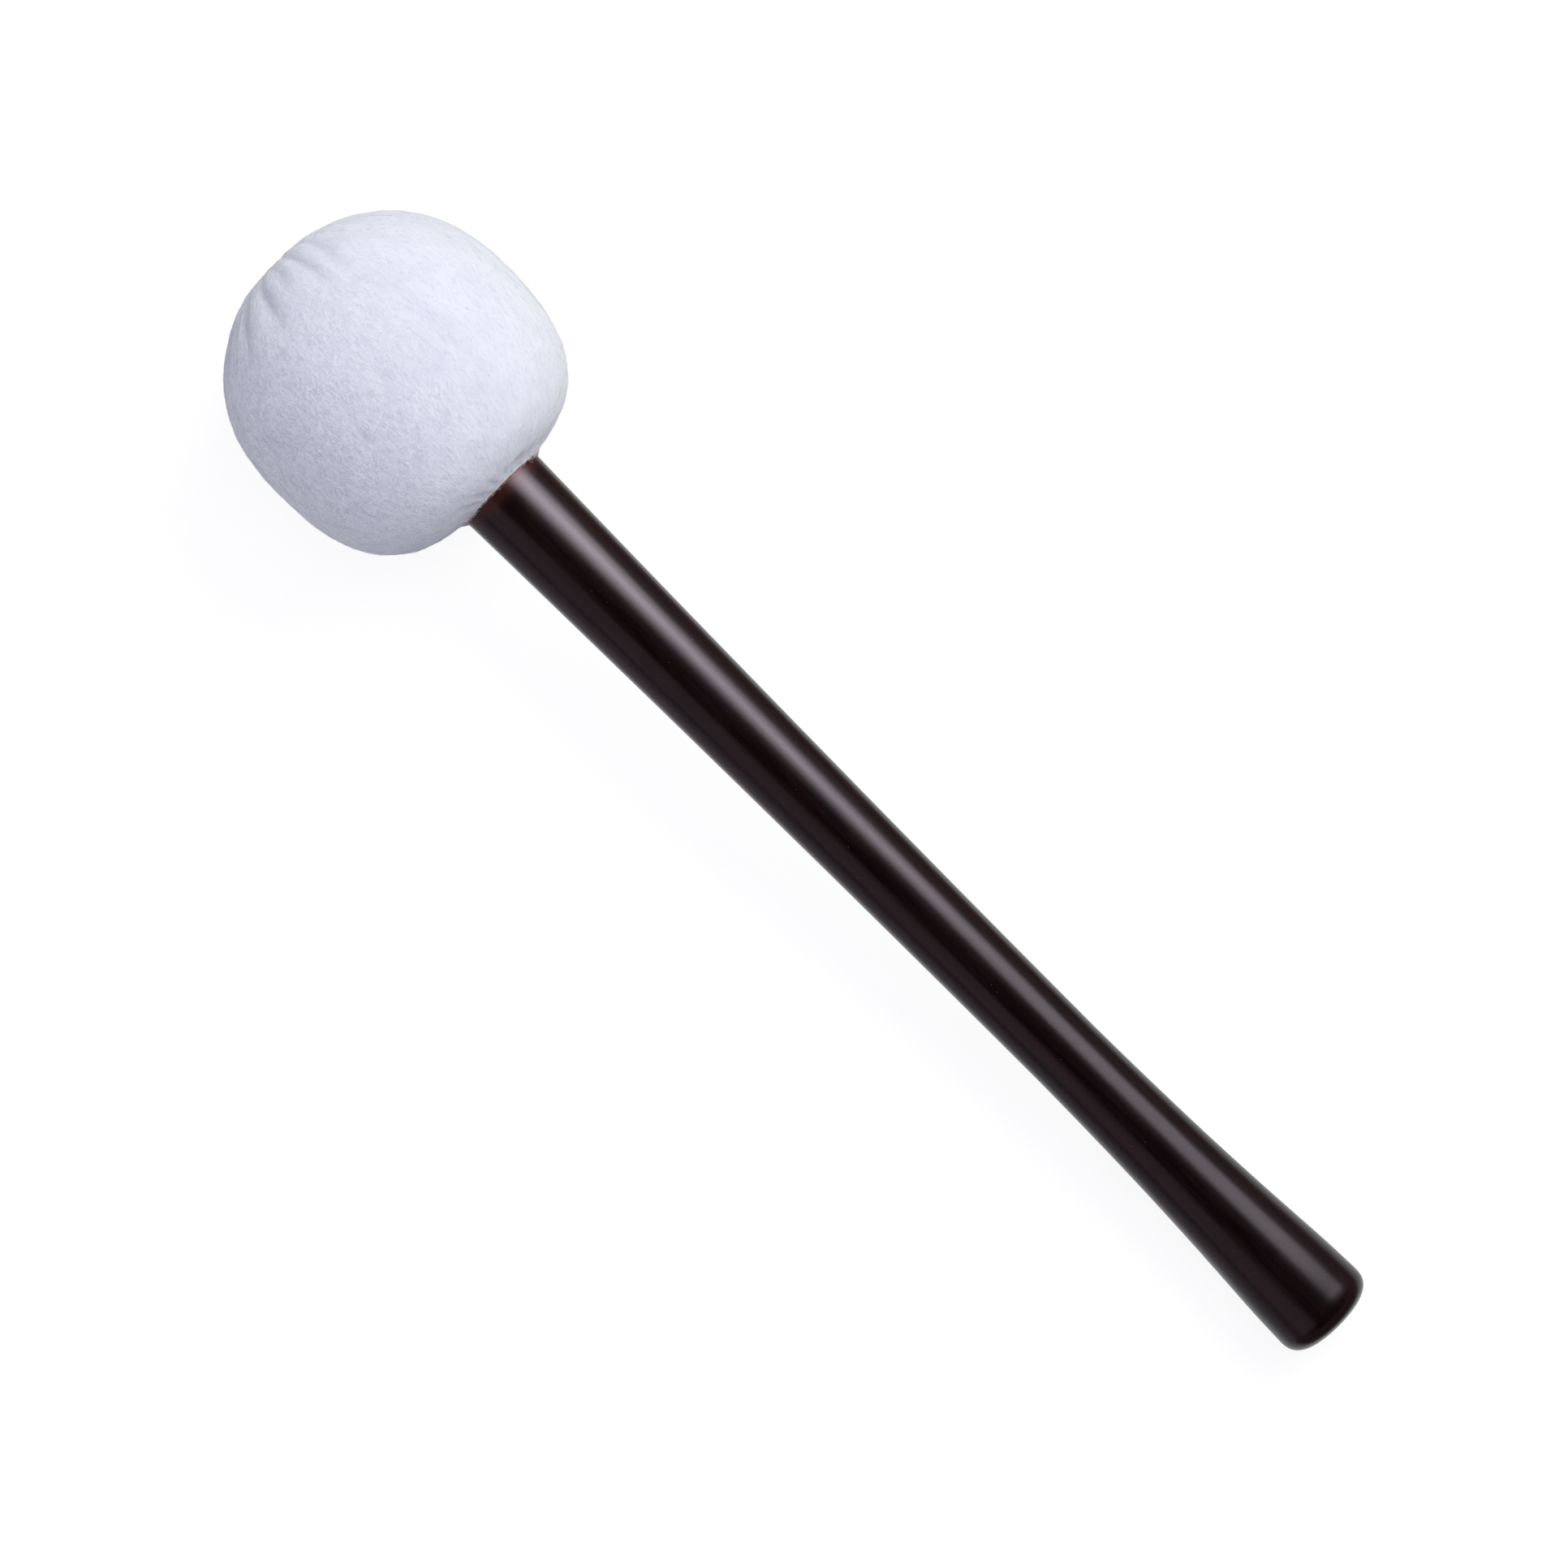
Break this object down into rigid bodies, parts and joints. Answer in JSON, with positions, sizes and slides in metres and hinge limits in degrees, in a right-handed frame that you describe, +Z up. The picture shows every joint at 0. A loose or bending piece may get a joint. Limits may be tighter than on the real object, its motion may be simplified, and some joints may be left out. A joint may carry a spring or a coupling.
{
  "type": "bass drum mallet",
  "caption": "Bass drum mallet: a large round head in gathered white fleece on a long dark lacquered wooden handle, slim at the waist and flared to a rounded butt.",
  "frame": {"origin": "on the floor under the middle of the mallet's box, as it lies on its head and its butt", "axes": "+Z up; the mallet's axis lies in the XZ plane, 4.8 degrees down towards +X, with the head at -X and the butt at +X"},
  "size_m": [0.4052, 0.088, 0.0876],
  "materials": {
    "lacquered_wood": "near-black brown satin lacquer over turned hardwood",
    "core_wood": "bare turned hardwood",
    "steel": "plain zinc-bright",
    "dense_felt": "hard pressed felt",
    "soft_felt": "soft felt",
    "padding": "soft fibre padding",
    "fleece": "white napped fleece, matted short pile with a cool tint",
    "thread": "waxed white thread"
  },
  "bodies": {
    "root": {"handle": "lacquered_wood", "head_core": "core_wood", "core_washer": "steel", "core_screw": "steel", "dense_felt_wrap": "dense_felt", "soft_felt_wrap": "soft_felt", "crown_felt_disc": "dense_felt", "neck_felt_disc": "dense_felt", "head_padding": "padding", "fleece_cover": "fleece", "neck_gather_thread": "thread", "crown_gather_thread": "thread", "cover_seam_thread": "thread"}
  },
  "joints": []
}
